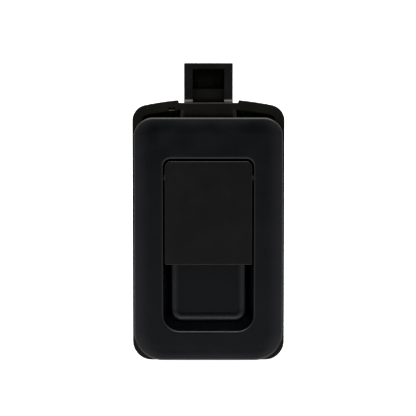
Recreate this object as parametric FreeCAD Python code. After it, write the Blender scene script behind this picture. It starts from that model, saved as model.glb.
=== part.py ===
# Flush pull catch for a locker door, made to stay screwed into the door with its bolt upward.
#
# Millimetres. X runs to the right, Y to the rear of the door, Z up. The origin is the centre of
# the front plate, on the face of the door panel that the gasket is clamped against.
#
# A moulded front bezel passes through a cut-out in the door. A moulded bracket behind the door is
# screwed to it and clamps the panel. A flap in the bezel swings out about a pin, and two arms on
# its back reach through the bezel and push a sprung bolt down out of its strike.

import FreeCAD, Part
import math
import os

V = FreeCAD.Vector

# Front plate of the bezel
PLATE_WIDTH = 67.0
PLATE_HEIGHT = 110.0
PLATE_THICK = 4.0
PLATE_R_TOP = 8.6
PLATE_R_BOTTOM = 12.6
CROWN_RUN = 7.0
CROWN_DROP = 1.2
PLATE_EDGE_R = 1.2
GASKET_THICK = 1.0
GASKET_INSET = 1.6

# Body of the bezel, which passes through the cut-out in the panel
PLATE_LAP_SIDE = 5.5
PLATE_LAP_END = 7.0
TUB_R = 6.0
TUB_CLEAR = 0.4
WALL = 2.0
FACE_WALL = 1.7

# Bay for the flap and finger pocket below it
OPENING_FROM_TUB_SIDE = 7.85
OPENING_BELOW_TUB_TOP = 11.7
OPENING_ABOVE_TUB_FOOT = 6.65
OPENING_R_TOP = 3.2
OPENING_R_BOTTOM = 7.2
OPENING_EDGE_R = 1.2
LIP_DEPTH = 1.8
BAY_DEPTH = 12.0
BAY_RELIEF = 0.4
BAY_R_TOP = 1.6
POCKET_BELOW_FLAP = 0.7
POCKET_SIDE_DRAFT = 3.1
POCKET_FOOT_DRAFT = 3.7
POCKET_CORNER_R = 5.4
POCKET_FLOOR_R = 4.7

# Flap and its pivot
FLAP_SIDE_GAP = 0.3
FLAP_TOP_GAP = 0.7
FLAP_HEIGHT = 47.0
FLAP_THICK = 3.0
FLAP_SET_BACK = 0.35
FLAP_R_TOP = 3.3
FLAP_R_BOTTOM = 0.6
FLAP_TOP_ROUND = 0.9
FLAP_EDGE_ROUND = 0.4
FLAP_RIM = 2.2
FLAP_CORE = 1.2
PIVOT_BELOW_TOP = 7.8
PIVOT_BEHIND_FACE = 3.85
PIN_R = 1.25
PIN_CLEAR = 0.1
PIN_PAST_WALL = 1.85
PIN_HEAD_CLEAR = 0.1
BARREL_R = 2.4
CLIP_R = 2.3
CLIP_THICK = 0.7
CLIP_MOUTH = 2.0
CLIP_WRAP = 0.75

# Drive arms
ARM_INNER = 5.0
ARM_WIDTH = 3.0
ARM_REACH = 19.0
ARM_ANGLE = 20.0
ARM_THICK = 2.6
KNOB_R = 2.6
KNOB_CLEAR = 0.15
SLOT_CLEAR = 0.8

# Flap spring, wound on the pin between the arms
FLAP_SPRING_HALF = 4.0
FLAP_SPRING_WIRE = 0.5
FLAP_SPRING_MEAN_R = 1.9
FLAP_SPRING_LEG = 15.0
SPRING_BAY_CLEAR = 0.6
SPRING_R_CLEAR = 0.35
LEG_CLEAR = 0.05

# Bracket behind the door
PANEL_GRIP = 6.0
BRACKET_PAST_SIDE = 1.2
BRACKET_PAST_FOOT = 1.3
ARCH_ABOVE_NOSE = 1.9
BRACKET_ARCH_R = 144.0
BRACKET_R_TOP = 7.3
BRACKET_R_BOTTOM = 8.6
ARCH_END_R = 0.8
RIM_WIDTH = 4.5
RIM_EDGE_R = 0.4
REAR_EDGE_R = 0.8
WEB_BEHIND_TUB = 3.0
WEB_THICK = 2.0
RIB_THICK = 1.6
RIB_HEIGHT = 4.0
RIB_HEIGHTS = (28.0, -24.0)
GATE_AT = -16.6
GATE_WIDTH = 3.0
GATE_R = 0.9
GATE_DEPTH = 0.4
GATE_RISE = 0.6

# Bolt guide, the upright spine of the bracket
NOSE_PAST_PLATE = 6.6
GUIDE_WALL = 2.1
GUIDE_FRONT_WALL = 2.0
KNOB_TO_COVER = 1.2
GUIDE_EDGE_R = 3.0
NOSE_EDGE_R = 0.4
SPRING_ROOM = 22.0
SHELF_THICK = 5.0
COVER_THICK = 2.0
COVER_EAR_R = 3.4
COVER_CORNER_R = 1.0
COVER_EDGE_R = 0.5

# Bolt
BOLT_WIDTH = 22.4
BOLT_SIDE_CLEAR = 0.3
BOLT_DEPTH_CLEAR = 0.3
BOLT_REACH = 18.0
BOLT_STEP = 2.2
BOLT_STEP_ABOVE_NOSE = 0.1
BOLT_PAD_HEIGHT = 0.4
BOLT_TIP = 2.7
BOLT_BEVEL_HEIGHT = 10.8
BOLT_WALL = 2.7
BOLT_LEG = 3.95
BOLT_RECESS_BELOW_NOSE = 4.6
BOLT_EDGE_R = 0.4
CROSSBAR_HEIGHT = 5.95
LEDGE_REACH = 2.55
WINDOW_CLEAR = 0.3
WINDOW_HEAD_ROOM = 0.7
TAIL_CLEAR = 0.4
STOP_HALF = 2.7
STOP_ABOVE_LEDGE = 2.0
STOP_DEPTH = 1.8
STOP_HEIGHT = 2.0
STOP_CLEAR = 0.2
STOP_SIDE_CLEAR = 0.3

# Bolt springs
SPRING_INSET = 4.0
SPRING_R = 2.7
SPRING_WIRE = 0.8
SPRING_SEAT = 2.0
SPRING_SEAT_CLEAR = 0.4
PEG_CLEAR = 0.2
PEG_HEIGHT = 3.0

# Screws
MOUNT_FROM_TUB_SIDE = 4.7
MOUNT_FROM_TUB_END = 4.5
BOSS_R = 3.5
MOUNT_SCREW_R = 1.4
MOUNT_HEAD_R = 3.0
MOUNT_HEAD_H = 2.1
MOUNT_SCREW_LENGTH = 11.0
COVER_SCREW_PAST_SPINE = 2.1
COVER_SCREW_ABOVE_SHELF = 3.0
COVER_SCREW_BELOW_NOSE = 11.6
COVER_BOSS_R = 3.0
COVER_SCREW_R = 1.2
COVER_HEAD_R = 2.6
COVER_HEAD_H = 1.8
COVER_SCREW_LENGTH = 9.0
HEAD_ROUND = 1.1
HOLE_CLEAR = 0.15
BORE_CLEAR = 0.03
BORE_DEEPER = 0.8

# Places worked out from the sizes above
PLATE_REAR = -GASKET_THICK
FACE = PLATE_REAR - PLATE_THICK
HOLLOW_FRONT = FACE + FACE_WALL
BAY_REAR = FACE + BAY_DEPTH
TUB_REAR = BAY_REAR + WALL
TUB_HALF_W = PLATE_WIDTH / 2 - PLATE_LAP_SIDE
TUB_HALF_H = PLATE_HEIGHT / 2 - PLATE_LAP_END
OPENING_HALF = TUB_HALF_W - OPENING_FROM_TUB_SIDE
OPENING_TOP = TUB_HALF_H - OPENING_BELOW_TUB_TOP
OPENING_BOTTOM = OPENING_ABOVE_TUB_FOOT - TUB_HALF_H
FLAP_HALF = OPENING_HALF - FLAP_SIDE_GAP
FLAP_TOP = OPENING_TOP - FLAP_TOP_GAP
FLAP_BOTTOM = FLAP_TOP - FLAP_HEIGHT
FLAP_FRONT = FACE + FLAP_SET_BACK
FLAP_REAR = FLAP_FRONT + FLAP_THICK
FLAP_CORE_FACE = FLAP_REAR - FLAP_CORE
POCKET_TOP = FLAP_BOTTOM - POCKET_BELOW_FLAP
PIVOT_Y = FLAP_FRONT + PIVOT_BEHIND_FACE
PIVOT_Z = FLAP_TOP - PIVOT_BELOW_TOP
ARM_OUTER = ARM_INNER + ARM_WIDTH
ARM_SINE = math.sin(math.radians(ARM_ANGLE))
ARM_COSINE = math.cos(math.radians(ARM_ANGLE))
KNOB_Y = PIVOT_Y + ARM_REACH * ARM_COSINE
KNOB_Z = PIVOT_Z + ARM_REACH * ARM_SINE
LEDGE_Z = KNOB_Z - KNOB_R - KNOB_CLEAR
BOLT_TRAVEL = 2 * ARM_REACH * ARM_SINE
BRACKET_HALF = PLATE_WIDTH / 2 + BRACKET_PAST_SIDE
BRACKET_BOTTOM = -PLATE_HEIGHT / 2 - BRACKET_PAST_FOOT
NOSE_TOP = PLATE_HEIGHT / 2 + NOSE_PAST_PLATE
BRACKET_TOP = NOSE_TOP + ARCH_ABOVE_NOSE
WEB_FRONT = TUB_REAR + WEB_BEHIND_TUB
WEB_REAR = WEB_FRONT + WEB_THICK
NOSE_FRONT = PANEL_GRIP
NOSE_FOOT = TUB_HALF_H + TUB_CLEAR
BOLT_HALF = BOLT_WIDTH / 2
GUIDE_FRONT = NOSE_FRONT + GUIDE_FRONT_WALL
GUIDE_REAR = PIVOT_Y + ARM_REACH + KNOB_R + KNOB_TO_COVER
GUIDE_HALF = BOLT_HALF + BOLT_SIDE_CLEAR
SPINE_HALF = GUIDE_HALF + GUIDE_WALL
CROSSBAR_FOOT = LEDGE_Z - CROSSBAR_HEIGHT
CROSSBAR_FRONT = KNOB_Y - LEDGE_REACH
SHELF_TOP = CROSSBAR_FOOT - SPRING_ROOM
SHELF_FOOT = SHELF_TOP - SHELF_THICK
BOLT_PAD_FRONT = GUIDE_FRONT + BOLT_DEPTH_CLEAR
BOLT_FRONT = BOLT_PAD_FRONT + BOLT_STEP
BOLT_REAR = GUIDE_REAR - BOLT_DEPTH_CLEAR
BOLT_STEP_AT = NOSE_TOP + BOLT_STEP_ABOVE_NOSE
BOLT_TOP = BOLT_STEP_AT + BOLT_REACH
BOLT_BEVEL_FROM = BOLT_TOP - BOLT_BEVEL_HEIGHT
BOLT_RECESS_FLOOR = NOSE_TOP - BOLT_RECESS_BELOW_NOSE
TAIL_FRONT = TUB_REAR + TAIL_CLEAR
WINDOW_TOP = KNOB_Z + KNOB_R + BOLT_TRAVEL + WINDOW_HEAD_ROOM
SPRING_AT = BOLT_HALF - SPRING_INSET
SPRING_Y = (CROSSBAR_FRONT + BOLT_REAR) / 2
SPRING_TOP = CROSSBAR_FOOT + SPRING_SEAT
MOUNT_X = TUB_HALF_W - MOUNT_FROM_TUB_SIDE
MOUNT_Z = TUB_HALF_H - MOUNT_FROM_TUB_END
COVER_SCREW_X = SPINE_HALF + COVER_SCREW_PAST_SPINE
COVER_SCREW_Z = (SHELF_TOP + COVER_SCREW_ABOVE_SHELF, NOSE_TOP - COVER_SCREW_BELOW_NOSE)
REACH = 200.0
CLOSE = 0.01


def block(x0, x1, y0, y1, z0, z1):
    """Box between two corners."""
    return Part.makeBox(x1 - x0, y1 - y0, z1 - z0, V(x0, y0, z0))


def rod(x, z, r, y0, y1):
    """Round bar running to the rear."""
    return Part.makeCylinder(r, y1 - y0, V(x, y0, z), V(0, 1, 0))


def cross_rod(x0, x1, y, z, r):
    """Round bar running to the right."""
    return Part.makeCylinder(r, x1 - x0, V(x0, y, z), V(1, 0, 0))


def outline(half, low, high, r_low, r_high, y):
    """Closed outline at depth y, with quarter-round corners of one radius below, one above.

    A radius of 0 leaves the corner sharp.
    """
    stops = []
    for side, end, r, up in ((1, low, r_low, -1), (1, high, r_high, 1),
                             (-1, high, r_high, 1), (-1, low, r_low, -1)):
        cx = side * (half - r)
        cz = end - up * r
        on_end = V(cx, y, end)
        on_side = V(side * half, y, cz)
        lean = r * math.sqrt(0.5)
        middle = V(cx + side * lean, y, cz + up * lean)
        first, last = (on_end, on_side) if side * up < 0 else (on_side, on_end)
        stops.append((first, middle, last, r))
    edges = []
    for i, (first, middle, last, r) in enumerate(stops):
        if r > 0:
            edges.append(Part.Arc(first, middle, last).toShape())
        edges.append(Part.LineSegment(last, stops[(i + 1) % 4][0]).toShape())
    return Part.Wire(edges)


def slab(half, low, high, r_low, r_high, y0, y1):
    """Upright plate with that outline, from depth y0 to y1."""
    face = Part.Face(outline(half, low, high, r_low, r_high, y0))
    return face.extrude(V(0, y1 - y0, 0))


def side_profile(points, x0, x1):
    """Prism across X of a closed outline of (y, z) points."""
    ring = [V(x0, y, z) for y, z in points]
    face = Part.Face(Part.makePolygon(ring + ring[:1]))
    return face.extrude(V(x1 - x0, 0, 0))


def rounded(shape, radius, chosen):
    """Fillet of the edges for which chosen(edge) is true."""
    edges = [e for e in shape.Edges if chosen(e)]
    return shape.makeFillet(radius, edges)


def span(edge, axis):
    """Least and greatest place, along the axis given by its letter, of an edge's ends and middle."""
    middle = edge.valueAt((edge.FirstParameter + edge.LastParameter) / 2)
    places = [getattr(p, axis) for p in [v.Point for v in edge.Vertexes] + [middle]]
    return min(places), max(places)


def along(edge, axis):
    """Whether an edge is a straight one along the axis given by its letter."""
    return all((high - low > CLOSE) == (letter == axis)
               for letter in "xyz" for low, high in [span(edge, letter)])


def at_depth(edge, y):
    """Whether an edge lies wholly at depth y."""
    low, high = span(edge, "y")
    return abs(low - y) < CLOSE and abs(high - y) < CLOSE


def below(edge, z):
    """Whether an edge lies wholly below height z."""
    return span(edge, "z")[1] < z


def mirrored(shape):
    """The same shape on the other side of the middle."""
    return shape.mirror(V(0, 0, 0), V(1, 0, 0))


def crown_cut():
    """What the soft edge of the front plate takes off.

    The face falls in an arc that would lose CROWN_DROP at the side, and a small round meets both
    that arc and the side without a crease. Angles are from the face's own direction.
    """
    half = PLATE_WIDTH / 2
    low = -PLATE_HEIGHT / 2
    start = half - PLATE_R_BOTTOM
    crown_r = (CROWN_RUN ** 2 + CROWN_DROP ** 2) / (2 * CROWN_DROP)
    meet = math.asin((CROWN_RUN - PLATE_EDGE_R) / (crown_r - PLATE_EDGE_R))
    round_depth = crown_r - (crown_r - PLATE_EDGE_R) * math.cos(meet)

    def at(inward, depth):
        return V(start, FACE + depth, low + inward)

    def on_round(angle):
        return at(PLATE_EDGE_R * (1 - math.sin(angle)), round_depth - PLATE_EDGE_R * math.cos(angle))

    def on_crown(angle):
        return at(CROWN_RUN - crown_r * math.sin(angle), crown_r * (1 - math.cos(angle)))

    side = on_round(math.pi / 2)
    corners = [on_crown(0), at(CROWN_RUN, -1), at(-1, -1), at(-1, round_depth), side]
    edges = [Part.Arc(side, on_round((math.pi / 2 + meet) / 2), on_round(meet)).toShape(),
             Part.Arc(on_round(meet), on_crown(meet / 2), on_crown(0)).toShape()]
    for a, b in zip(corners, corners[1:]):
        edges.append(Part.LineSegment(a, b).toShape())
    path = outline(half, low, -low, PLATE_R_BOTTOM, PLATE_R_TOP, FACE)
    return path.makePipeShell([Part.Wire(edges)], True, False)


def bay(grow, front, rear):
    """Straight bay for the flap and drafted finger pocket below it, grown by a wall thickness.

    The top of the flap rises as it swings, so the bay is higher and squarer than its mouth.
    """
    half = OPENING_HALF + grow
    upper = slab(half, POCKET_TOP - grow, OPENING_TOP + BAY_RELIEF + grow, 0, BAY_R_TOP + grow,
                 front, rear)
    low = OPENING_BOTTOM - grow
    r_front = OPENING_R_BOTTOM + grow
    draft_from = FACE + LIP_DEPTH
    lip = slab(half, low, POCKET_TOP + 1, r_front, 0, front, draft_from)
    wires = [outline(half, low, OPENING_TOP, r_front, 0, draft_from),
             outline(half - POCKET_SIDE_DRAFT, low + POCKET_FOOT_DRAFT, OPENING_TOP,
                     POCKET_CORNER_R + grow, 0, rear)]
    pocket = Part.makeLoft(wires, True, True)
    pocket = rounded(pocket, POCKET_FLOOR_R, lambda e: at_depth(e, rear)
                     and span(e, "z")[0] < POCKET_TOP)
    pocket = pocket.common(block(-REACH, REACH, -REACH, REACH, -REACH, POCKET_TOP))
    return upper.fuse(lip).fuse(pocket)


def front_bezel():
    """Front plate, walls through the panel, bay and pocket, and four screw bosses, in one moulding."""
    half_w = PLATE_WIDTH / 2
    half_h = PLATE_HEIGHT / 2
    plate = slab(half_w, -half_h, half_h, PLATE_R_BOTTOM, PLATE_R_TOP, FACE, PLATE_REAR)
    plate = plate.cut(crown_cut())
    mouth = slab(OPENING_HALF, OPENING_BOTTOM, OPENING_TOP, OPENING_R_BOTTOM, OPENING_R_TOP,
                 FACE - 1, FACE + LIP_DEPTH)
    plate = plate.cut(mouth)
    plate = rounded(plate, OPENING_EDGE_R, lambda e: at_depth(e, FACE)
                    and span(e, "x")[0] > -OPENING_HALF - CLOSE
                    and span(e, "x")[1] < OPENING_HALF + CLOSE
                    and span(e, "z")[0] > OPENING_BOTTOM - CLOSE
                    and below(e, OPENING_TOP + CLOSE))
    tub = slab(TUB_HALF_W, -TUB_HALF_H, TUB_HALF_H, TUB_R, TUB_R, PLATE_REAR, TUB_REAR)
    inner_r = TUB_R - WALL
    hollow = slab(TUB_HALF_W - WALL, WALL - TUB_HALF_H, TUB_HALF_H - WALL, inner_r, inner_r,
                  HOLLOW_FRONT, TUB_REAR + 1)
    body = plate.fuse(tub).cut(hollow)
    walls = bay(WALL, HOLLOW_FRONT, TUB_REAR).cut(bay(0.0, HOLLOW_FRONT - 1, BAY_REAR))
    body = body.fuse(walls)
    for x in (-MOUNT_X, MOUNT_X):
        for z in (-MOUNT_Z, MOUNT_Z):
            body = body.fuse(rod(x, z, BOSS_R, HOLLOW_FRONT, WEB_FRONT))
    slots = arm_slot()
    body = body.cut(slots).cut(mirrored(slots))
    pin_room = TUB_HALF_W - WALL
    body = body.cut(cross_rod(-pin_room, pin_room, PIVOT_Y, PIVOT_Z, PIN_R + PIN_CLEAR))
    bore = MOUNT_SCREW_LENGTH - WEB_THICK + BORE_DEEPER
    for x in (-MOUNT_X, MOUNT_X):
        for z in (-MOUNT_Z, MOUNT_Z):
            body = body.cut(rod(x, z, MOUNT_SCREW_R + BORE_CLEAR, WEB_FRONT - bore, WEB_FRONT + 1))
    return body.removeSplitter()


def arm_slot():
    """Slot in the back of the bay that the right arm swings through."""
    rear = BAY_REAR + WALL
    rise = (rear - PIVOT_Y) * ARM_SINE / ARM_COSINE + ARM_THICK / 2 / ARM_COSINE
    return block(ARM_INNER - SLOT_CLEAR, ARM_OUTER + SLOT_CLEAR, BAY_REAR - 1, rear + 1,
                 PIVOT_Z - rise - SLOT_CLEAR, PIVOT_Z + rise + SLOT_CLEAR)


def bezel_gasket():
    """Flat rubber gasket between the front plate and the panel."""
    half_w = PLATE_WIDTH / 2 - GASKET_INSET
    half_h = PLATE_HEIGHT / 2 - GASKET_INSET
    outer = slab(half_w, -half_h, half_h, PLATE_R_BOTTOM - GASKET_INSET,
                 PLATE_R_TOP - GASKET_INSET, PLATE_REAR, 0)
    inner_w = TUB_HALF_W + TUB_CLEAR
    inner_h = TUB_HALF_H + TUB_CLEAR
    inner_r = TUB_R + TUB_CLEAR
    return outer.cut(slab(inner_w, -inner_h, inner_h, inner_r, inner_r, PLATE_REAR - 1, 1))


def pull_flap():
    """Flap with a cored back, a split barrel on the pin and two drive arms."""
    plate = slab(FLAP_HALF, FLAP_BOTTOM, FLAP_TOP, FLAP_R_BOTTOM, FLAP_R_TOP, FLAP_FRONT, FLAP_REAR)
    plate = rounded(plate, FLAP_EDGE_ROUND,
                    lambda e: at_depth(e, FLAP_FRONT) or at_depth(e, FLAP_REAR))
    brow = block(-REACH, REACH, FLAP_FRONT, FLAP_REAR, FLAP_BOTTOM - 1, FLAP_TOP)
    brow = rounded(brow, FLAP_TOP_ROUND, lambda e: at_depth(e, FLAP_FRONT)
                   and not below(e, FLAP_TOP - CLOSE))
    plate = plate.common(brow)
    core_half = FLAP_HALF - FLAP_RIM
    core_top = PIVOT_Z - BARREL_R - FLAP_RIM
    plate = plate.cut(block(-core_half, core_half, FLAP_CORE_FACE, FLAP_REAR + 1,
                            FLAP_BOTTOM + FLAP_RIM, core_top))
    arm = drive_arm(ARM_INNER)
    spring_bay = FLAP_SPRING_HALF + SPRING_BAY_CLEAR
    half_barrel = cross_rod(spring_bay, FLAP_HALF, PIVOT_Y, PIVOT_Z, BARREL_R)
    plate = plate.fuse(half_barrel).fuse(mirrored(half_barrel))
    plate = plate.fuse(arm).fuse(mirrored(arm))
    coil_room = FLAP_SPRING_MEAN_R + FLAP_SPRING_WIRE / 2 + SPRING_R_CLEAR
    plate = plate.cut(cross_rod(-spring_bay, spring_bay, PIVOT_Y, PIVOT_Z, coil_room))
    plate = plate.cut(block(-spring_bay, spring_bay, FLAP_CORE_FACE, FLAP_REAR + 1,
                            core_top - 1, PIVOT_Z))
    bore = cross_rod(-FLAP_HALF - 1, FLAP_HALF + 1, PIVOT_Y, PIVOT_Z, PIN_R + PIN_CLEAR)
    return plate.cut(bore).removeSplitter()


def drive_arm(x0):
    """Arm from the barrel to a round knob that bears on the bolt."""
    lift = V(0, ARM_COSINE, ARM_SINE)
    across = V(0, -ARM_SINE, ARM_COSINE)
    start = V(x0, PIVOT_Y, PIVOT_Z)
    tip = start + lift * ARM_REACH
    half = across * (ARM_THICK / 2)
    ring = [start + half, tip + half, tip - half, start - half, start + half]
    bar = Part.Face(Part.makePolygon(ring)).extrude(V(ARM_WIDTH, 0, 0))
    knob = cross_rod(x0, x0 + ARM_WIDTH, KNOB_Y, KNOB_Z, KNOB_R)
    root = cross_rod(x0, x0 + ARM_WIDTH, PIVOT_Y, PIVOT_Z, BARREL_R)
    return root.fuse(bar).fuse(knob)


def flap_pivot_pin():
    """Plain pin through the walls of the bay and the flap."""
    half = OPENING_HALF + WALL + PIN_PAST_WALL
    return cross_rod(-half, half, PIVOT_Y, PIVOT_Z, PIN_R)


def pin_clip():
    """Snap ring that keeps the right end of the pin."""
    x0 = OPENING_HALF + WALL + PIN_HEAD_CLEAR
    ring = cross_rod(x0, x0 + CLIP_THICK, PIVOT_Y, PIVOT_Z, CLIP_R)
    bore = cross_rod(x0 - 1, x0 + 2, PIVOT_Y, PIVOT_Z, PIN_R)
    mouth = block(x0 - 1, x0 + 2, PIVOT_Y - CLIP_MOUTH / 2, PIVOT_Y + CLIP_MOUTH / 2,
                  PIVOT_Z - CLIP_R - 1, PIVOT_Z - CLIP_WRAP)
    return ring.cut(bore).cut(mouth)


def flap_spring():
    """Torsion spring on the pin: its coil as one sleeve, and a leg to the flap and to the bay."""
    r_out = FLAP_SPRING_MEAN_R + FLAP_SPRING_WIRE / 2
    r_in = FLAP_SPRING_MEAN_R - FLAP_SPRING_WIRE / 2
    coil = cross_rod(-FLAP_SPRING_HALF, FLAP_SPRING_HALF, PIVOT_Y, PIVOT_Z, r_out)
    wire_r = FLAP_SPRING_WIRE / 2
    leg_x = FLAP_SPRING_HALF - wire_r
    flap_y = FLAP_CORE_FACE + wire_r + LEG_CLEAR
    flap_leg = Part.makeCylinder(wire_r, FLAP_SPRING_LEG, V(-leg_x, flap_y, PIVOT_Z), V(0, 0, -1))
    wall_y = BAY_REAR - wire_r - LEG_CLEAR
    arm_z = PIVOT_Z + FLAP_SPRING_MEAN_R
    reach = wall_y - PIVOT_Y
    bay_arm = Part.makeCylinder(wire_r, reach, V(leg_x, PIVOT_Y, arm_z), V(0, 1, 0))
    bay_leg = Part.makeCylinder(wire_r, FLAP_SPRING_LEG, V(leg_x, wall_y, arm_z), V(0, 0, -1))
    elbow = Part.makeSphere(wire_r, V(leg_x, wall_y, arm_z))
    whole = coil.fuse(flap_leg).fuse(bay_arm).fuse(bay_leg).fuse(elbow)
    return whole.cut(cross_rod(-REACH, REACH, PIVOT_Y, PIVOT_Z, r_in))


def tray(inset, y0, y1):
    """Outline of the bracket, brought in by an inset: straight sides under a shallow arch."""
    half = BRACKET_HALF - inset
    low = BRACKET_BOTTOM + inset
    sheet = block(-half, half, y0, y1, low, BRACKET_TOP)
    disc = rod(0, BRACKET_TOP - BRACKET_ARCH_R, BRACKET_ARCH_R - inset, y0, y1)
    plate = sheet.common(disc)
    middle = (low + BRACKET_TOP) / 2
    plate = rounded(plate, BRACKET_R_TOP - inset,
                    lambda e: along(e, "y") and not below(e, middle))
    return rounded(plate, BRACKET_R_BOTTOM - inset,
                   lambda e: along(e, "y") and below(e, middle))


def rear_bracket():
    """Moulded tray behind the door, with the bolt guide standing in the middle of it."""
    body = tray(0.0, NOSE_FRONT, WEB_REAR)
    body = rounded(body, RIM_EDGE_R, lambda e: at_depth(e, NOSE_FRONT))
    body = rounded(body, REAR_EDGE_R, lambda e: at_depth(e, WEB_REAR))
    body = body.cut(block(-SPINE_HALF, SPINE_HALF, NOSE_FRONT - 1, REACH, NOSE_TOP, REACH))
    body = rounded(body, ARCH_END_R, lambda e: along(e, "y") and not below(e, NOSE_TOP + CLOSE))
    body = body.cut(tray(RIM_WIDTH, NOSE_FRONT - 1, WEB_FRONT))
    nose = block(-SPINE_HALF, SPINE_HALF, NOSE_FRONT, GUIDE_REAR, NOSE_FOOT, NOSE_TOP)
    nose = rounded(nose, GUIDE_EDGE_R, lambda e: along(e, "z") and span(e, "y")[1] < GUIDE_FRONT)
    spine = block(-SPINE_HALF, SPINE_HALF, WEB_FRONT, GUIDE_REAR, SHELF_FOOT, NOSE_TOP)
    body = body.fuse(nose).fuse(spine)
    for x in (-COVER_SCREW_X, COVER_SCREW_X):
        for z in COVER_SCREW_Z:
            body = body.fuse(rod(x, z, COVER_BOSS_R, WEB_FRONT, GUIDE_REAR))
    for z in RIB_HEIGHTS:
        body = body.fuse(cross_rib(z))
    body = body.fuse(upright_rib())
    body = body.cut(block(-GUIDE_HALF, GUIDE_HALF, GUIDE_FRONT, REACH, SHELF_TOP, REACH))
    for x in (-SPRING_AT, SPRING_AT):
        peg_r = SPRING_R - SPRING_WIRE - PEG_CLEAR
        peg = Part.makeCylinder(peg_r, PEG_HEIGHT, V(x, SPRING_Y, SHELF_TOP), V(0, 0, 1))
        body = body.fuse(peg)
        for z in COVER_SCREW_Z:
            side = math.copysign(COVER_SCREW_X, x)
            depth = COVER_SCREW_LENGTH - COVER_THICK + BORE_DEEPER
            body = body.cut(rod(side, z, COVER_SCREW_R + BORE_CLEAR, GUIDE_REAR - depth, REACH))
        for z in (-MOUNT_Z, MOUNT_Z):
            side = math.copysign(MOUNT_X, x)
            body = body.cut(rod(side, z, MOUNT_SCREW_R + HOLE_CLEAR, WEB_FRONT - 1, REACH))
    return body.cut(nose_round()).cut(gate_mark()).removeSplitter()


def nose_round():
    """What the round along the front of the nose's top takes off, from end to end of the arch."""
    foot = NOSE_TOP - NOSE_EDGE_R
    rear = NOSE_FRONT + NOSE_EDGE_R
    corner = block(-SPINE_HALF, SPINE_HALF, NOSE_FRONT - 1, rear, foot, NOSE_TOP + 1)
    return corner.cut(cross_rod(-REACH, REACH, rear, foot, NOSE_EDGE_R))


def cross_rib(z):
    """Stiffening rib across the back of the bracket, sloped off at both ends."""
    half = BRACKET_HALF - RIM_WIDTH
    crest = WEB_REAR + RIB_HEIGHT
    ends = ((-half, WEB_FRONT), (half, WEB_FRONT), (half, WEB_REAR), (half - RIB_HEIGHT, crest),
            (RIB_HEIGHT - half, crest), (-half, WEB_REAR))
    ring = [V(x, y, z - RIB_THICK / 2) for x, y in ends]
    return Part.Face(Part.makePolygon(ring + ring[:1])).extrude(V(0, 0, RIB_THICK))


def upright_rib():
    """Stiffening rib below the bolt guide, sloped off at its foot."""
    foot = BRACKET_BOTTOM + RIM_WIDTH
    crest = WEB_REAR + RIB_HEIGHT
    return side_profile([(WEB_FRONT, foot), (WEB_REAR, foot), (crest, foot + RIB_HEIGHT),
                         (crest, SHELF_FOOT + 1), (WEB_FRONT, SHELF_FOOT + 1)],
                        -RIB_THICK / 2, RIB_THICK / 2)


def gate_mark():
    """What the sunk mark of the moulding gate takes off, at the foot of the left of the arch."""
    arch = BRACKET_ARCH_R - RIM_WIDTH
    rim_foot = BRACKET_TOP - BRACKET_ARCH_R + math.sqrt(arch ** 2 - GATE_AT ** 2)
    return cross_rod(GATE_AT - GATE_WIDTH / 2, GATE_AT + GATE_WIDTH / 2,
                     NOSE_FRONT + GATE_DEPTH - GATE_R, rim_foot + GATE_RISE, GATE_R)


def rear_cover():
    """Plate that closes the bolt guide from behind, with the bolt's stop on its inner face."""
    rear = GUIDE_REAR + COVER_THICK
    plate = slab(SPINE_HALF, SHELF_FOOT, NOSE_TOP, COVER_CORNER_R, COVER_CORNER_R, GUIDE_REAR, rear)
    for z in COVER_SCREW_Z:
        plate = plate.fuse(block(-COVER_SCREW_X, COVER_SCREW_X, GUIDE_REAR, rear,
                                 z - COVER_EAR_R, z + COVER_EAR_R))
        for x in (-COVER_SCREW_X, COVER_SCREW_X):
            plate = plate.fuse(rod(x, z, COVER_EAR_R, GUIDE_REAR, rear))
    plate = plate.removeSplitter()
    plate = rounded(plate, COVER_EDGE_R, lambda e: at_depth(e, rear))
    for z in COVER_SCREW_Z:
        for x in (-COVER_SCREW_X, COVER_SCREW_X):
            plate = plate.cut(rod(x, z, COVER_SCREW_R + HOLE_CLEAR, GUIDE_REAR - 1, rear + 1))
    low = stop_foot()
    stop = block(-STOP_HALF, STOP_HALF, BOLT_REAR - STOP_DEPTH, GUIDE_REAR + 1,
                 low, low + STOP_HEIGHT)
    return plate.fuse(stop)


def stop_foot():
    """Height of the stop on the cover, which the foot of the groove in the bolt comes up to."""
    return LEDGE_Z + STOP_ABOVE_LEDGE


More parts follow.
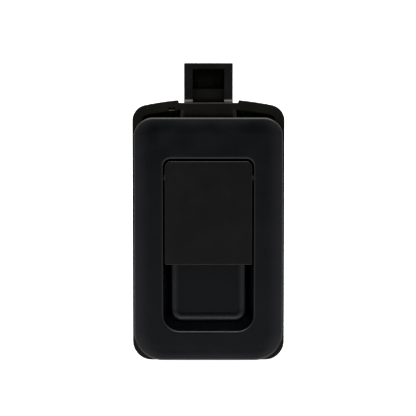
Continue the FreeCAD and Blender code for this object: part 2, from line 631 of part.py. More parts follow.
def latch_bolt():
    """Bevelled, hollow bolt with two tall windows for the arms and a sprung crossbar below."""
    z_pad = BOLT_STEP_AT + BOLT_STEP
    pad_foot = BOLT_STEP_AT - BOLT_PAD_HEIGHT
    profile = [(TAIL_FRONT, LEDGE_Z), (TAIL_FRONT, pad_foot),
               (BOLT_PAD_FRONT, pad_foot), (BOLT_PAD_FRONT, z_pad), (BOLT_FRONT, z_pad),
               (BOLT_FRONT, BOLT_TOP), (BOLT_FRONT + BOLT_TIP, BOLT_TOP),
               (BOLT_REAR, BOLT_BEVEL_FROM), (BOLT_REAR, CROSSBAR_FOOT),
               (CROSSBAR_FRONT, CROSSBAR_FOOT), (CROSSBAR_FRONT, LEDGE_Z)]
    body = side_profile(profile, -BOLT_HALF, BOLT_HALF)
    scoop = cross_rod(-BOLT_HALF - 1, BOLT_HALF + 1, BOLT_PAD_FRONT, z_pad, BOLT_STEP)
    body = body.cut(scoop)
    body = rounded(body, BOLT_EDGE_R, lambda e: span(e, "x")[1] - span(e, "x")[0] < CLOSE
                   and not below(e, BOLT_BEVEL_FROM + 1))
    slope_y = BOLT_REAR - BOLT_FRONT - BOLT_TIP
    slope_z = BOLT_TOP - BOLT_BEVEL_FROM
    slope = math.hypot(slope_y, slope_z)
    roof = BOLT_TOP - BOLT_WALL
    back = BOLT_REAR - BOLT_WALL
    inner_y = BOLT_FRONT + BOLT_TIP - BOLT_WALL * slope_z / slope
    inner_z = BOLT_TOP - BOLT_WALL * slope_y / slope
    roof_y = inner_y + (inner_z - roof) * slope_y / slope_z
    back_z = inner_z - (back - inner_y) * slope_z / slope_y
    half = BOLT_HALF - BOLT_LEG
    recess = [(BOLT_PAD_FRONT - 1, BOLT_RECESS_FLOOR), (back, BOLT_RECESS_FLOOR),
              (back, back_z), (roof_y, roof), (BOLT_PAD_FRONT - 1, roof)]
    body = body.cut(side_profile(recess, -half, half))
    window = block(ARM_INNER - WINDOW_CLEAR, ARM_OUTER + WINDOW_CLEAR, 0, REACH,
                   LEDGE_Z, WINDOW_TOP)
    body = body.cut(window).cut(mirrored(window))
    groove_foot = stop_foot() - STOP_CLEAR
    groove_half = STOP_HALF + STOP_SIDE_CLEAR
    groove_top = stop_foot() + STOP_HEIGHT + BOLT_TRAVEL + STOP_CLEAR * 2
    body = body.cut(block(-groove_half, groove_half, BOLT_REAR - STOP_DEPTH - STOP_SIDE_CLEAR,
                          REACH, groove_foot, groove_top))
    seat_r = SPRING_R + SPRING_SEAT_CLEAR
    for x in (-SPRING_AT, SPRING_AT):
        body = body.cut(Part.makeCylinder(seat_r, SPRING_SEAT + 1, V(x, SPRING_Y, CROSSBAR_FOOT - 1)))
    return body.removeSplitter()


def bolt_spring(x):
    """Compression spring under the bolt's crossbar, as the sleeve that its coils fill."""
    height = SPRING_TOP - SHELF_TOP
    foot = V(x, SPRING_Y, SHELF_TOP)
    outer = Part.makeCylinder(SPRING_R, height, foot)
    return outer.cut(Part.makeCylinder(SPRING_R - SPRING_WIRE, height, foot))


def screw(x, z, seat, length, r, head_r, head_h):
    """Pan-head screw driven from behind, its head resting at depth seat."""
    shank = rod(x, z, r, seat - length, seat)
    head = rod(x, z, head_r, seat, seat + head_h)
    head = rounded(head, HEAD_ROUND, lambda e: at_depth(e, seat + head_h))
    return shank.fuse(head)


def pieces():
    """Every piece by its name."""
    found = {
        "front_bezel": front_bezel(),
        "bezel_gasket": bezel_gasket(),
        "rear_bracket": rear_bracket(),
        "rear_cover": rear_cover(),
        "pull_flap": pull_flap(),
        "flap_pivot_pin": flap_pivot_pin(),
        "pin_clip_right": pin_clip(),
        "pin_clip_left": mirrored(pin_clip()),
        "flap_spring": flap_spring(),
        "latch_bolt": latch_bolt(),
        "bolt_spring_left": bolt_spring(-SPRING_AT),
        "bolt_spring_right": bolt_spring(SPRING_AT),
    }
    number = 0
    for x in (-1, 1):
        for up in (0, 1):
            number += 1
            found[f"mounting_screw_{number}"] = screw(
                x * MOUNT_X, (2 * up - 1) * MOUNT_Z, WEB_REAR, MOUNT_SCREW_LENGTH,
                MOUNT_SCREW_R, MOUNT_HEAD_R, MOUNT_HEAD_H)
            found[f"cover_screw_{number}"] = screw(
                x * COVER_SCREW_X, COVER_SCREW_Z[up], GUIDE_REAR + COVER_THICK, COVER_SCREW_LENGTH,
                COVER_SCREW_R, COVER_HEAD_R, COVER_HEAD_H)
    return found


os.makedirs("parts", exist_ok=True)
for name, shape in pieces().items():
    box = shape.BoundBox
    print(f"{name}: solids {len(shape.Solids)}, valid {shape.isValid()}, "
          f"{box.XLength:.1f} x {box.YLength:.1f} x {box.ZLength:.1f}, {shape.Volume:.0f} mm3")
    shape.exportStep(f"parts/{name}.step")
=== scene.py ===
# %% [markdown]
# # A flush pull catch for a locker door
#
# The catch is five black mouldings, a rubber gasket and fourteen small steel parts. Its solids
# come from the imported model, which is the fixed frame of this scene. What is made here is the
# finish of every surface, the wire springs, the pin, the screws with their recesses and threads,
# and the studio.
#
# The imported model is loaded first, and the box that it fills is kept, because nothing that is
# added here may grow the catch.

# %% Load the fixed frame
import math

import bmesh
import bpy
from mathutils import Matrix, Vector


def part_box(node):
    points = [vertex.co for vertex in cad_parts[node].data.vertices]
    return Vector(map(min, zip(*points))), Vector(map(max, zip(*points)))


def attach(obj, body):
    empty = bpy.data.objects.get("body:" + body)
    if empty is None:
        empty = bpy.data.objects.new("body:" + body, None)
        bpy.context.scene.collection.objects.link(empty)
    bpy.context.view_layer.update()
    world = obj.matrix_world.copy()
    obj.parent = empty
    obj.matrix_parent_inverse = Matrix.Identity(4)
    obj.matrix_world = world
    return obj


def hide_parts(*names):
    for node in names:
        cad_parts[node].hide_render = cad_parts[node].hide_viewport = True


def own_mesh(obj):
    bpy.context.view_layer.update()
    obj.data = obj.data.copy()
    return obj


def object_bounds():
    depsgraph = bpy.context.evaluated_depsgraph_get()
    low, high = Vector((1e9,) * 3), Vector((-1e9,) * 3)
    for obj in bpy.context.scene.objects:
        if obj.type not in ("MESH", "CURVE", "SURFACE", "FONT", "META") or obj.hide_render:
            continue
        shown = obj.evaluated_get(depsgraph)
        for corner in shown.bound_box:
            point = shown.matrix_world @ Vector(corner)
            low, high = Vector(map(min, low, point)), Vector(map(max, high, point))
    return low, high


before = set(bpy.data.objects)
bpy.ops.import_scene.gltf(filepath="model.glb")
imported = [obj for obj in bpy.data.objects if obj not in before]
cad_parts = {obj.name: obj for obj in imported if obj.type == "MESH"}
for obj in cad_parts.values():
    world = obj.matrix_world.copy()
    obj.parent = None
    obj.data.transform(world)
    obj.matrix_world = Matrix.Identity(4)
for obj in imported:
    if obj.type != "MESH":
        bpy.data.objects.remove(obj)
cad_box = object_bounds()
MM = 0.001

# %% [markdown]
# ## Colours and shader nodes
#
# Paint charts and photographs give colours as sRGB hex values, but Cycles counts light, so one
# function turns a hex value to linear light. A second one adds a shader node with its settings,
# its fixed values and the sockets that feed it, so that a material reads from top to bottom.

# %% Helpers for colours and nodes
def linear(hex_value):
    """An sRGB hex colour as linear red, green, blue and alpha."""
    shares = [int(hex_value[i:i + 2], 16) / 255 for i in (1, 3, 5)]
    light = [c / 12.92 if c <= 0.04045 else ((c + 0.055) / 1.055) ** 2.4 for c in shares]
    return (*light, 1.0)


def add_node(tree, kind, values=None, links=None, **settings):
    """Adds a node, with settings by attribute, values by socket and links by socket."""
    made = tree.nodes.new(kind)
    for name, value in settings.items():
        setattr(made, name, value)
    for socket, value in (values or {}).items():
        made.inputs[socket].default_value = value
    for socket, source in (links or {}).items():
        tree.links.new(source, made.inputs[socket])
    return made


def new_material(name):
    """An empty node material, its tree and the place that its shader goes to."""
    material = bpy.data.materials.new(name)
    material.use_nodes = True
    tree = material.node_tree
    tree.nodes.clear()
    output = tree.nodes.new("ShaderNodeOutputMaterial")
    return material, tree, output.inputs["Surface"]


# %% [markdown]
# ## Spark-textured nylon
#
# The plate, the bracket and the flap are glass-filled nylon, moulded against spark-eroded steel.
# That leaves grains of about 0.3 mm and a soft sheen on a near black. The glass fibre makes the
# gloss uneven over about a centimetre. The grain is a noise bump, and the uneven gloss a wide
# noise on the roughness. Carbon black hides the base colour so well that a batch shows its cast
# in the sheen alone: a little blue on the plate, a little warm on the bracket, so each has its
# own specular tint. One function makes every black plastic from its own grain, gloss, sheen and
# two near blacks.

# %% Recipe for a black moulding
GRAIN = 0.30 * MM
CLOUD = 9.0 * MM
CLOUD_LOW, CLOUD_HIGH = 0.3, 0.7
GLOSSIER, DULLER = 0.04, 0.05


def moulded_plastic(name, dark, light, mirror, gloss, grain_size, grain_depth, ior):
    """A black moulding: fine grain as bump, and a cloudy change of roughness and colour."""
    material, tree, surface = new_material(name)
    place = add_node(tree, "ShaderNodeTexCoord").outputs["Object"]
    grain = add_node(tree, "ShaderNodeTexNoise", {"Scale": 1 / grain_size, "Detail": 3.0,
                                                  "Roughness": 0.6}, {"Vector": place})
    cloud = add_node(tree, "ShaderNodeTexNoise", {"Scale": 1 / CLOUD, "Detail": 2.0},
                     {"Vector": place})
    tint = add_node(tree, "ShaderNodeMix", {"A": linear(dark), "B": linear(light)},
                    data_type="RGBA")
    tree.links.new(cloud.outputs["Fac"], tint.inputs["Factor"])
    uneven = add_node(tree, "ShaderNodeMapRange",
                      {"From Min": CLOUD_LOW, "From Max": CLOUD_HIGH,
                       "To Min": gloss - GLOSSIER, "To Max": gloss + DULLER},
                      {"Value": cloud.outputs["Fac"]})
    bump = add_node(tree, "ShaderNodeBump", {"Strength": 0.5, "Distance": grain_depth},
                    {"Height": grain.outputs["Fac"]})
    shader = add_node(tree, "ShaderNodeBsdfPrincipled",
                      {"IOR": ior, "Metallic": 0.0, "Specular Tint": linear(mirror)},
                      {"Base Color": tint.outputs["Result"], "Roughness": uneven.outputs["Result"],
                       "Normal": bump.outputs["Normal"]})
    tree.links.new(shader.outputs["BSDF"], surface)
    return material


# %% [markdown]
# ### Four black plastics
#
# The plate and the bracket come from two batches of nylon. The flap's mould has a finer grain.
# Acetal, which slides well, makes the bolt: its mould was polished, so it has the finest skin and
# the most shine.

# %% Four black plastics
plate_nylon = moulded_plastic(
    "glass-filled nylon, spark-textured", dark="#020203", light="#040405", mirror="#f6f9ff",
    gloss=0.31, grain_size=GRAIN, grain_depth=0.03 * MM, ior=1.53)
bracket_nylon = moulded_plastic(
    "glass-filled nylon, another batch", dark="#030303", light="#050404", mirror="#fffaf2",
    gloss=0.32, grain_size=GRAIN, grain_depth=0.03 * MM, ior=1.54)
flap_nylon = moulded_plastic(
    "glass-filled nylon, fine-textured", dark="#030303", light="#040404", mirror="#ffffff",
    gloss=0.32, grain_size=GRAIN * 0.7, grain_depth=0.02 * MM, ior=1.53)
bolt_acetal = moulded_plastic(
    "acetal, polished mould", dark="#030303", light="#040404", mirror="#fffdfa",
    gloss=0.29, grain_size=GRAIN * 0.5, grain_depth=0.01 * MM, ior=1.59)
for finish in (plate_nylon, bracket_nylon, flap_nylon, bolt_acetal):
    print("moulding:", finish.name)

# %% [markdown]
# ## Rubber
#
# The gasket is closed-cell rubber, cut from sheet. The cells that the cut opens make it dull and
# pitted, so its bump is a cell pattern of about their size.

# %% Rubber
PIT = 0.4 * MM
PIT_DEPTH = 0.05 * MM


def cell_rubber():
    """Dull black rubber with fine open pits."""
    material, tree, surface = new_material("closed-cell rubber")
    place = add_node(tree, "ShaderNodeTexCoord").outputs["Object"]
    pits = add_node(tree, "ShaderNodeTexVoronoi", {"Scale": 1 / PIT}, {"Vector": place})
    bump = add_node(tree, "ShaderNodeBump", {"Strength": 0.6, "Distance": PIT_DEPTH},
                    {"Height": pits.outputs["Distance"]})
    shader = add_node(tree, "ShaderNodeBsdfPrincipled",
                      {"Base Color": linear("#141414"), "Roughness": 0.85, "IOR": 1.52},
                      {"Normal": bump.outputs["Normal"]})
    tree.links.new(shader.outputs["BSDF"], surface)
    return material


rubber = cell_rubber()
print("rubber:", rubber.name)

# %% [markdown]
# ## Steel
#
# The pin, its clips and the springs are drawn stainless steel, so their gloss runs in fine lines,
# drawn here along X as the pin lies. The screws are zinc-plated, a warmer and cloudier metal. A
# metal keeps the shader's default IOR.

# %% Metals
STREAK_DEPTH = 0.01 * MM
STREAK_GLOSSIER, STREAK_DULLER = 0.08, 0.1


def bright_metal(name, base, gloss, line):
    """Metal with fine drawn lines, whose spacing along each axis is given in metres."""
    material, tree, surface = new_material(name)
    place = add_node(tree, "ShaderNodeTexCoord").outputs["Object"]
    stretched = add_node(tree, "ShaderNodeMapping", {"Scale": [1 / s for s in line]},
                         {"Vector": place})
    streak = add_node(tree, "ShaderNodeTexNoise", {"Scale": 1.0, "Detail": 4.0},
                      {"Vector": stretched.outputs["Vector"]})
    uneven = add_node(tree, "ShaderNodeMapRange",
                      {"To Min": gloss - STREAK_GLOSSIER, "To Max": gloss + STREAK_DULLER},
                      {"Value": streak.outputs["Fac"]})
    bump = add_node(tree, "ShaderNodeBump", {"Strength": 0.2, "Distance": STREAK_DEPTH},
                    {"Height": streak.outputs["Fac"]})
    shader = add_node(tree, "ShaderNodeBsdfPrincipled",
                      {"Base Color": linear(base), "Metallic": 1.0},
                      {"Roughness": uneven.outputs["Result"], "Normal": bump.outputs["Normal"]})
    tree.links.new(shader.outputs["BSDF"], surface)
    return material


drawn_steel = bright_metal("drawn stainless steel", base="#b9b9b6", gloss=0.28,
                           line=(2 * MM, 0.1 * MM, 0.1 * MM))
zinc_plate = bright_metal("zinc-plated steel", base="#b4b3a8", gloss=0.34,
                          line=(0.6 * MM, 0.6 * MM, 0.6 * MM))
print("metals:", drawn_steel.name, "|", zinc_plate.name)

# %% [markdown]
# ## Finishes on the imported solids
#
# The mouldings, the gasket and the pin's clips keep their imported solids, which already have their
# true edges, crown and fillets. Only their materials change.

# %% Put the finishes on the solids
FINISHES = {
    "front_bezel": plate_nylon, "rear_bracket": bracket_nylon, "rear_cover": bracket_nylon,
    "pull_flap": flap_nylon, "latch_bolt": bolt_acetal, "bezel_gasket": rubber,
    "pin_clip_left": drawn_steel, "pin_clip_right": drawn_steel,
}
for name, finish in FINISHES.items():
    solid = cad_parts[name]
    solid.data.materials.clear()
    solid.data.materials.append(finish)
print("finished solids:", len(FINISHES))

# %% [markdown]
# ## Making a piece from a bmesh
#
# Each new piece is a bmesh shaped by operators. One helper turns it to an object with smooth
# faces and sharp corners, gives it its metal, hangs it on the body that carries it, and hides the
# solid that it stands for.

# %% Turn a bmesh into a piece
SHARP = math.radians(40)
MERGE = 0.002 * MM


def piece(name, shape, material, body, slot, *stands_for):
    """Object of a bmesh, with its finish, the body that carries it and the node it replaces."""
    bmesh.ops.remove_doubles(shape, verts=shape.verts, dist=MERGE)
    bmesh.ops.recalc_face_normals(shape, faces=shape.faces)
    mesh = bpy.data.meshes.new(name)
    shape.to_mesh(mesh)
    shape.free()
    mesh.shade_smooth()
    mesh.set_sharp_from_angle(angle=SHARP)
    mesh.materials.append(material)
    made = bpy.data.objects.new(name, mesh)
    bpy.context.scene.collection.objects.link(made)
    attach(made, body)
    if stands_for:
        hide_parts(*stands_for)
    return made


# %% [markdown]
# ## The wire springs
#
# A spring is one round wire wound on a mandrel. The wire's section is a small circle, and
# bmesh.ops.spin turns it about the mandrel while a rise at each step makes the helix. The face
# at the end of one stage starts the next, so one wire can be wound close and then open.

# %% Wind a wire
STEPS = 28
WIRE_SIDES = 12


def wound(mean_r, wire_r, stages):
    """Helix about Z, which starts on the X axis; each stage is its turns and its rise a turn."""
    shape = bmesh.new()
    ring = bmesh.ops.create_circle(shape, cap_ends=True, segments=WIRE_SIDES, radius=wire_r)
    bmesh.ops.rotate(shape, verts=ring["verts"], matrix=Matrix.Rotation(math.pi / 2, 3, "X"))
    bmesh.ops.translate(shape, verts=ring["verts"], vec=(mean_r, 0, wire_r))
    last = shape.faces[:][0]
    for turns, rise in stages:
        steps = round(turns * STEPS)
        spun = bmesh.ops.spin(shape, geom=[last] + last.edges[:] + last.verts[:],
                              cent=(0, 0, 0), axis=(0, 0, 1), dvec=(0, 0, rise * turns / steps),
                              angle=2 * math.pi * turns, steps=steps)
        last = next(g for g in spun["geom_last"] if isinstance(g, bmesh.types.BMFace))
    return shape, last


# %% [markdown]
# ### The two springs under the bolt
#
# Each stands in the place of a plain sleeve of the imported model.

# %% The bolt's springs
BOLT_WIRE = 0.8 * MM
CLOSED_TURN = 1.0
OPEN_TURNS = 6.0


def bolt_spring(side):
    """Compression spring in the place of one sleeve."""
    node = f"bolt_spring_{side}"
    low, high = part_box(node)
    outer = (high.x - low.x) / 2
    height = high.z - low.z
    rise = (height - (2 * CLOSED_TURN + 1) * BOLT_WIRE) / OPEN_TURNS
    shape, _ = wound(outer - BOLT_WIRE / 2, BOLT_WIRE / 2,
                     [(CLOSED_TURN, BOLT_WIRE), (OPEN_TURNS, rise), (CLOSED_TURN, BOLT_WIRE)])
    centre = Vector(((low.x + high.x) / 2, (low.y + high.y) / 2, low.z))
    bmesh.ops.translate(shape, verts=shape.verts, vec=centre)
    made = piece(f"wire_{node}", shape, drawn_steel, "housing", "spring_steel", node)
    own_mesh(made)
    print(node, round(height / MM, 2), "mm high, rises", round(rise / MM, 2), "mm a turn")


for side in ("left", "right"):
    bolt_spring(side)

# %% [markdown]
# ## The flap's spring
#
# A torsion spring is wound close on the flap's pin. One end runs down the back of the flap and
# the other runs back to the wall of the bay and down it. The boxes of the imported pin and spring
# say where the coil lies and how far its legs reach.

# %% Place of the flap's spring
pin_low, pin_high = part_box("flap_pivot_pin")
pivot = (pin_low + pin_high) / 2
coil_low, coil_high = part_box("flap_spring")
WIRE_R = 0.25 * MM
LEG_BEND = 0.8 * MM
BEND_STEPS = 6
mean_r = coil_high.z - pivot.z - WIRE_R
coil_half = coil_high.x
leg_foot = coil_low.z
wall_y = coil_high.y - WIRE_R
print("coil", round(2 * coil_half / MM, 1), "mm wide, mean radius", round(mean_r / MM, 2), "mm")

# %% [markdown]
# ### The coil, with its leg to the bay
#
# The coil and the bay's leg are one wire, because both stay with the housing. The helix turns
# the other way from the bolt's springs, so its matrix mirrors it. The leg goes on from the coil's
# last face: a straight run back, a quarter bend, and a straight run down.

# %% Coil on the pin
def pushed(shape, face, step):
    """Extrudes a face along a step and returns the face at its new end."""
    out = bmesh.ops.extrude_discrete_faces(shape, faces=[face])["faces"][0]
    bmesh.ops.translate(shape, verts=out.verts[:], vec=step)
    return out


def flap_coil():
    """Close coil from the flap's leg round to the top of the pin, then the leg in the bay."""
    wound_length = 2 * coil_half - 2 * WIRE_R
    turns = int(wound_length / (2 * WIRE_R)) + 0.25
    shape, last = wound(mean_r, WIRE_R, [(turns, wound_length / turns)])
    onto_pin = Matrix(((0, 0, 1, -coil_half), (-1, 0, 0, pivot.y), (0, 1, 0, pivot.z),
                       (0, 0, 0, 1)))
    bmesh.ops.transform(shape, matrix=onto_pin, verts=shape.verts)
    last = pushed(shape, last, (0, wall_y - LEG_BEND - pivot.y, 0))
    corner = (0, wall_y - LEG_BEND, pivot.z + mean_r - LEG_BEND)
    spun = bmesh.ops.spin(shape, geom=[last] + last.edges[:] + last.verts[:], cent=corner,
                          axis=(1, 0, 0), dvec=(0, 0, 0), angle=-math.pi / 2, steps=BEND_STEPS)
    last = next(g for g in spun["geom_last"] if isinstance(g, bmesh.types.BMFace))
    pushed(shape, last, (0, 0, leg_foot - corner[2] + mean_r))
    return piece("wire_flap_coil", shape, drawn_steel, "housing", "spring_steel", "flap_spring")


coil = flap_coil()
print(coil.name, len(coil.data.polygons), "faces")

# %% [markdown]
# ### The leg on the flap
#
# This leg is a second piece, because it swings with the flap. It meets the coil where the wire
# leaves it.

# %% Leg on the flap
def flap_leg():
    """Straight leg down the back of the flap."""
    shape = bmesh.new()
    length = pivot.z - leg_foot
    bmesh.ops.create_cone(shape, cap_ends=True, segments=WIRE_SIDES, radius1=WIRE_R,
                          radius2=WIRE_R, depth=length)
    bmesh.ops.translate(shape, verts=shape.verts,
                        vec=(WIRE_R - coil_half, pivot.y - mean_r, pivot.z - length / 2))
    return piece("wire_flap_leg", shape, drawn_steel, "flap", "spring_steel", "flap_spring")


leg = flap_leg()
print(leg.name, len(leg.data.polygons), "faces")

# %% [markdown]
# ## The pin
#
# The flap's pin is a ground bar with a chamfer at each end, which leads it through the bores.
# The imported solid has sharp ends, so the pin is made again: a cylinder laid along X, with the
# edges of both ends bevelled.

# %% Chamfered pin
PIN_SIDES = 48
PIN_CHAMFER = 0.3 * MM
LEVEL_WITHIN = 0.01 * MM


def ground_pin():
    """Steel bar with chamfered ends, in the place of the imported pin."""
    shape = bmesh.new()
    r = (pin_high.z - pin_low.z) / 2
    bmesh.ops.create_cone(shape, cap_ends=True, segments=PIN_SIDES, radius1=r, radius2=r,
                          depth=pin_high.x - pin_low.x)
    ends = [e for e in shape.edges if abs(e.verts[0].co.z - e.verts[1].co.z) < LEVEL_WITHIN]
    bmesh.ops.bevel(shape, geom=ends, offset=PIN_CHAMFER, segments=1, profile=0.5,
                    affect="EDGES", material=-1)
    bmesh.ops.rotate(shape, verts=shape.verts, matrix=Matrix.Rotation(math.pi / 2, 3, "Y"))
    bmesh.ops.translate(shape, verts=shape.verts, vec=pivot)
    return piece("ground_pin", shape, drawn_steel, "housing", "pin_steel", "flap_pivot_pin")


print("pin", round((pin_high.x - pin_low.x) / MM, 1), "mm long:", ground_pin().name)

# %% [markdown]
# ## The screws
#
# All eight are thread-forming screws for plastic, with a domed pan head and a cross recess, and
# a wide coarse thread on a thin core. Two sizes share each function, so what scales with a screw
# is a share of its shank, head or pitch. Head and core come first: they are one outline, spun
# about the axis. The full turn merges its seam, and leaves an open rim in the flat of the head.

# %% Head and core
HEAD_ROUND = 1.1 * MM
TIP_LENGTH = 1.6 * MM
ROUND, DOME_STEPS = 32, 6


def head_and_core(shape, low, high, head_r, core_r, seat):
    """Spins the outline of head, core and tip, and returns the open rim in the head's flat."""
    flat_r = head_r - HEAD_ROUND
    rows = [(flat_r + HEAD_ROUND * math.sin(a), high.y - HEAD_ROUND + HEAD_ROUND * math.cos(a))
            for a in (math.pi / 2 * i / DOME_STEPS for i in range(DOME_STEPS + 1))]
    rows += [(head_r, seat), (core_r, seat), (core_r, low.y + TIP_LENGTH), (0.0, low.y)]
    line = [shape.verts.new((r, y, 0)) for r, y in rows]
    edges = [shape.edges.new(pair) for pair in zip(line, line[1:])]
    bmesh.ops.spin(shape, geom=line + edges, cent=(0, 0, 0), axis=(0, 1, 0), dvec=(0, 0, 0),
                   angle=2 * math.pi, steps=ROUND, use_merge=True)
    bmesh.ops.remove_doubles(shape, verts=shape.verts, dist=MERGE / 2)
    return [e for e in shape.edges if e.is_boundary]


# %% [markdown]
# ### The cross recess
#
# The flat of the head is filled between its rim and a cross-shaped face. That face is then
# pushed in and drawn together, as the punch that forges a real recess tapers.

# %% Cross recess
CROSS_REACH, CROSS_HALF = 0.86, 0.22
CROSS_DEPTH, CROSS_TAPER = 0.62, 0.5


def punch_cross(shape, rim, flat_r, top, head_h):
    """Fills the head's flat round a cross, and pushes the cross in with a taper."""
    arm, half = flat_r * CROSS_REACH, flat_r * CROSS_HALF
    corner = [Vector((half, half)), Vector((half, arm)), Vector((-half, arm))]
    cross = []
    for turn in range(4):
        quarter = Matrix.Rotation(turn * math.pi / 2, 2)
        cross += [shape.verts.new((x, top, z)) for x, z in (quarter @ c for c in corner)]
    punched = shape.faces.new(cross)
    bmesh.ops.triangle_fill(shape, edges=rim + punched.edges[:], use_beauty=True)
    foot = pushed(shape, punched, (0, -head_h * CROSS_DEPTH, 0))
    bmesh.ops.scale(shape, verts=foot.verts[:], vec=(CROSS_TAPER, 1, CROSS_TAPER))


# %% [markdown]
# ### The thread
#
# A thread is a ridge that climbs the core at a steady pitch, so it is a small triangle spun with
# a rise at each step. Its root is sunk a little into the core, so that no gap shows, and it runs
# out just below the head.

# %% Thread
THREAD_START = 1.2 * MM
PITCH_OF_SHANK = 0.95
TOOTH_OF_PITCH = 0.5
ROOT_OF_CORE = 0.9
RUN_OUT_TURNS = 0.8
THREAD_STEPS = 20


def roll_thread(shape, start, seat, core_r, shank_r):
    """Spins a small triangle up the core, from its start to just below the head's seat."""
    pitch = shank_r * PITCH_OF_SHANK
    tooth = pitch * TOOTH_OF_PITCH
    root = core_r * ROOT_OF_CORE
    ridge = shape.faces.new([shape.verts.new(c) for c in (
        (root, start, 0), (shank_r, start + tooth / 2, 0), (root, start + tooth, 0))])
    turns = (seat - start) / pitch - RUN_OUT_TURNS
    steps = round(turns * THREAD_STEPS)
    bmesh.ops.spin(shape, geom=[ridge] + ridge.edges[:] + ridge.verts[:], cent=(0, 0, 0),
                   axis=(0, 1, 0), dvec=(0, pitch * turns / steps, 0), angle=2 * math.pi * turns,
                   steps=steps)


# %% [markdown]
# ### Four mounting screws and four cover screws
#
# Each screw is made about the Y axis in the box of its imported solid, and then moved across to it.

# %% The eight screws
MOUNT_SHANK_R, MOUNT_HEAD_H = 1.4 * MM, 2.1 * MM
COVER_SHANK_R, COVER_HEAD_H = 1.2 * MM, 1.8 * MM
CORE_OF_SHANK = 0.74


def screw(node, shank_r, head_h):
    """Screw about Y in the place of an imported one, which stays in its box."""
    low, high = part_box(node)
    head_r = (high.x - low.x) / 2
    core_r = shank_r * CORE_OF_SHANK
    seat = high.y - head_h
    shape = bmesh.new()
    rim = head_and_core(shape, low, high, head_r, core_r, seat)
    punch_cross(shape, rim, head_r - HEAD_ROUND, high.y, head_h)
    roll_thread(shape, low.y + THREAD_START, seat, core_r, shank_r)
    middle = (low + high) / 2
    bmesh.ops.translate(shape, verts=shape.verts, vec=(middle.x, 0, middle.z))
    return piece(f"cut_{node}", shape, zinc_plate, "housing", "screw_steel", node)


for number in range(1, 5):
    clamp = screw(f"mounting_screw_{number}", MOUNT_SHANK_R, MOUNT_HEAD_H)
    lid = screw(f"cover_screw_{number}", COVER_SHANK_R, COVER_HEAD_H)
    for made in (clamp, lid):
        print(made.name, len(made.data.polygons), "faces")

# %% [markdown]
# ## Light and camera
#
# The photograph is taken nearly level with the top of the bolt guide, from about 0.7 m, with a
# long lens. The background is pure white and the front of the catch nearly black, so it was lit
# from round about, with little light from the camera's own side. The lens is long because its
# focal length is worked out from the width that the photograph shows at that distance.

# %% Camera
LOOK_FROM = Vector((-0.0002, -0.707, 0.0625))
LOOK_AT = Vector((-0.0002, -0.005, 0.01435))
PHOTO_SPAN = 0.1871
SENSOR = 36.0
NEAREST = 0.01

camera_data = bpy.data.cameras.new("camera")
camera_data.sensor_width = SENSOR
camera_data.lens = SENSOR * (LOOK_AT - LOOK_FROM).length / PHOTO_SPAN
camera_data.clip_start = NEAREST
camera = bpy.data.objects.new("camera", camera_data)
camera.location = LOOK_FROM
camera.rotation_euler = (LOOK_AT - LOOK_FROM).to_track_quat("-Z", "Y").to_euler()
bpy.context.scene.collection.objects.link(camera)
bpy.context.scene.camera = camera
print("lens", round(camera_data.lens, 1), "mm")

# %% [markdown]
# ## Studio light
#
# Black plastic shows little but what it mirrors, so the studio is built from what each side of
# the catch sees. The world's strength will follow the direction of a ray, so the first nodes give
# its three axes, and how far it points to either side.

# %% Directions in the room
world = bpy.data.worlds.new("studio")
world.use_nodes = True
room = world.node_tree
room.nodes.clear()
ray = add_node(room, "ShaderNodeTexCoord").outputs["Generated"]
axes = add_node(room, "ShaderNodeSeparateXYZ", links={"Vector": ray}).outputs
away = add_node(room, "ShaderNodeMath", links={0: axes["X"]},
                operation="ABSOLUTE").outputs["Value"]
print("directions:", [axis.name for axis in axes])

# %% [markdown]
# ### The walls of the room
#
# Black cloth hangs round the camera, with a pale table edge just below it, and the room grows
# light away from it and bright overhead. It dims again far out to the sides and behind. Each wall
# starts at one value of a direction and is full at another, and one below zero takes light away.

# %% Walls
CLOTH_LIGHT = 0.045
# Each wall: the direction it follows, where it starts, where it is full, and its light.
WALLS = (
    (away, 0.00, 0.30, 0.10),
    (away, 0.30, 0.60, -0.35),
    (away, 0.60, 1.00, -1.15),
    (axes["Z"], 0.25, 0.50, -0.20),
    (axes["Z"], 0.50, 0.75, -0.20),
    (axes["Z"], 0.70, 1.00, 1.20),
    (axes["Z"], 0.00, -0.20, 0.29),
    (axes["Z"], -0.20, -0.50, -0.46),
    (axes["Z"], -0.50, -0.90, -0.28),
    (axes["Y"], -0.97, -0.70, 0.75),
    (axes["Y"], -0.70, -0.30, 0.95),
    (axes["Y"], 0.10, 0.80, -1.60),
)
total = add_node(room, "ShaderNodeMath", {0: CLOTH_LIGHT, 1: 0.0},
                 operation="ADD").outputs["Value"]
for direction, start, full, light in WALLS:
    wall = add_node(room, "ShaderNodeMapRange",
                    {"From Min": start, "From Max": full, "To Min": 0.0, "To Max": light},
                    {"Value": direction}, interpolation_type="SMOOTHSTEP")
    total = add_node(room, "ShaderNodeMath", links={0: total, 1: wall.outputs["Result"]},
                     operation="ADD").outputs["Value"]
print("walls of the room:", len(WALLS))

# %% [markdown]
# ### What the camera sees
#
# The photograph's background is plain white, and a room of many greys would show behind the
# catch. Light Path tells the camera's own rays apart, so that only they meet a white world.

# %% World
mirrored = add_node(room, "ShaderNodeBackground", {"Color": linear("#ffffff")},
                    {"Strength": total})
plain = add_node(room, "ShaderNodeBackground", {"Color": linear("#ffffff"), "Strength": 1.0})
path = add_node(room, "ShaderNodeLightPath")
mix = add_node(room, "ShaderNodeMixShader",
               links={0: path.outputs["Is Camera Ray"], 1: mirrored.outputs["Background"],
                      2: plain.outputs["Background"]})
add_node(room, "ShaderNodeOutputWorld", links={"Surface": mix.outputs["Shader"]})
bpy.context.scene.world = world
print("world:", world.name)

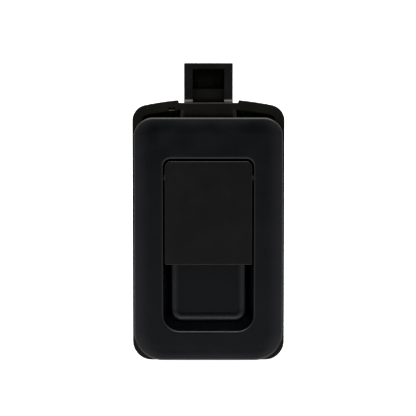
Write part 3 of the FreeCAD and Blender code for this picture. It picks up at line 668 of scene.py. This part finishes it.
# %% [markdown]
# ## Black level
#
# The deepest shade in the photograph is pure black, as in most printed pictures. A camera gets
# there by taking a small black level off every value and exposing a little longer for it, and
# this scene does the same. Without it the recess of the bolt would look like grey felt.

# %% Black level and exposure
BLACK_LEVEL = 0.002
EXPOSURE_STOPS = 0.33
view = bpy.context.scene.view_settings
view.view_transform = "Standard"
view.exposure = EXPOSURE_STOPS
view.use_curve_mapping = True
view.curve_mapping.black_level = (BLACK_LEVEL, BLACK_LEVEL, BLACK_LEVEL)
view.curve_mapping.update()
print("stops of exposure:", round(view.exposure, 2))

# %% [markdown]
# ## Lights
#
# A strip light overhead sharpens the bright line along the top edge of the plate. Two broad soft
# lights stand behind the catch: they rim its sides and show the ribs and screws at the back.

# %% Lights
STRIP_WATTS = 0.18
REAR_WATTS = 2.4


def soft_light(name, place, aim, size, power):
    """Rectangular light at a place, turned to a point, with a size in metres."""
    data = bpy.data.lights.new(name, "AREA")
    data.shape = "RECTANGLE"
    data.size, data.size_y = size
    data.energy = power
    light = bpy.data.objects.new(name, data)
    light.location = place
    light.rotation_euler = (Vector(aim) - Vector(place)).to_track_quat("-Z", "Y").to_euler()
    light.visible_camera = False
    bpy.context.scene.collection.objects.link(light)
    print("light", name, power, "W")


soft_light("overhead_strip", place=(0.0, -0.12, 0.62), aim=(0, 0, 0.03), size=(0.6, 0.10),
           power=STRIP_WATTS)
for hand, x in (("left", -0.9), ("right", 0.9)):
    soft_light(f"rear_{hand}", place=(x, 0.9, 0.1), aim=(0, 0, 0), size=(1.2, 1.2),
               power=REAR_WATTS)

# %% [markdown]
# ## The stage
#
# The catch stands on a pale floor that sweeps up into the backdrop, as a sheet of card does in a
# studio. White card lit from the front and from behind looks nearly even, so it glows a little.

# %% White card
CARD_GLOW = 0.85


def white_card():
    """Matt white card, lit through from behind."""
    material, tree, surface = new_material("white card")
    shader = add_node(tree, "ShaderNodeBsdfPrincipled",
                      {"Base Color": linear("#f4f4f4"), "Roughness": 0.9,
                       "Emission Color": linear("#ffffff"), "Emission Strength": CARD_GLOW})
    tree.links.new(shader.outputs["BSDF"], surface)
    return material


card = white_card()
print("stage finish:", card.name)

# %% [markdown]
# ### The sweep
#
# The sweep is one strip: an edge that is extruded back and then up, with its corner rounded by a
# bevel. It is hidden from the rays that light and mirror the catch, because the room above gives
# both.

# %% Floor and backdrop
FLOOR_GAP = 0.05 * MM
FOLD_R = 0.8
FOLD_STEPS = 16


def sweep():
    """Pale card that runs under the catch and up behind it."""
    floor = cad_box[0][2] - FLOOR_GAP
    wide, near, far, high = 3.0, -2.2, 1.6, 2.4
    shape = bmesh.new()
    left = shape.verts.new((-wide, near, floor))
    right = shape.verts.new((wide, near, floor))
    edges = [shape.edges.new((left, right))]
    for step in ((0, far - near, 0), (0, 0, high)):
        made = bmesh.ops.extrude_edge_only(shape, edges=edges)["geom"]
        edges = [g for g in made if isinstance(g, bmesh.types.BMEdge) and len(g.link_faces) == 1
                 and all(v in made for v in g.verts)][:1]
        verts = [g for g in made if isinstance(g, bmesh.types.BMVert)]
        bmesh.ops.translate(shape, verts=verts, vec=step)
    fold = [e for e in shape.edges if len(e.link_faces) == 2]
    bmesh.ops.bevel(shape, geom=fold, offset=FOLD_R, segments=FOLD_STEPS, profile=0.5,
                    affect="EDGES", material=-1)
    mesh = bpy.data.meshes.new("sweep")
    shape.to_mesh(mesh)
    shape.free()
    mesh.shade_smooth()
    mesh.materials.append(card)
    made = bpy.data.objects.new("sweep", mesh)
    bpy.context.scene.collection.objects.link(made)
    made.visible_diffuse = False
    made.visible_glossy = False
    return made


print("stage:", sweep().name)
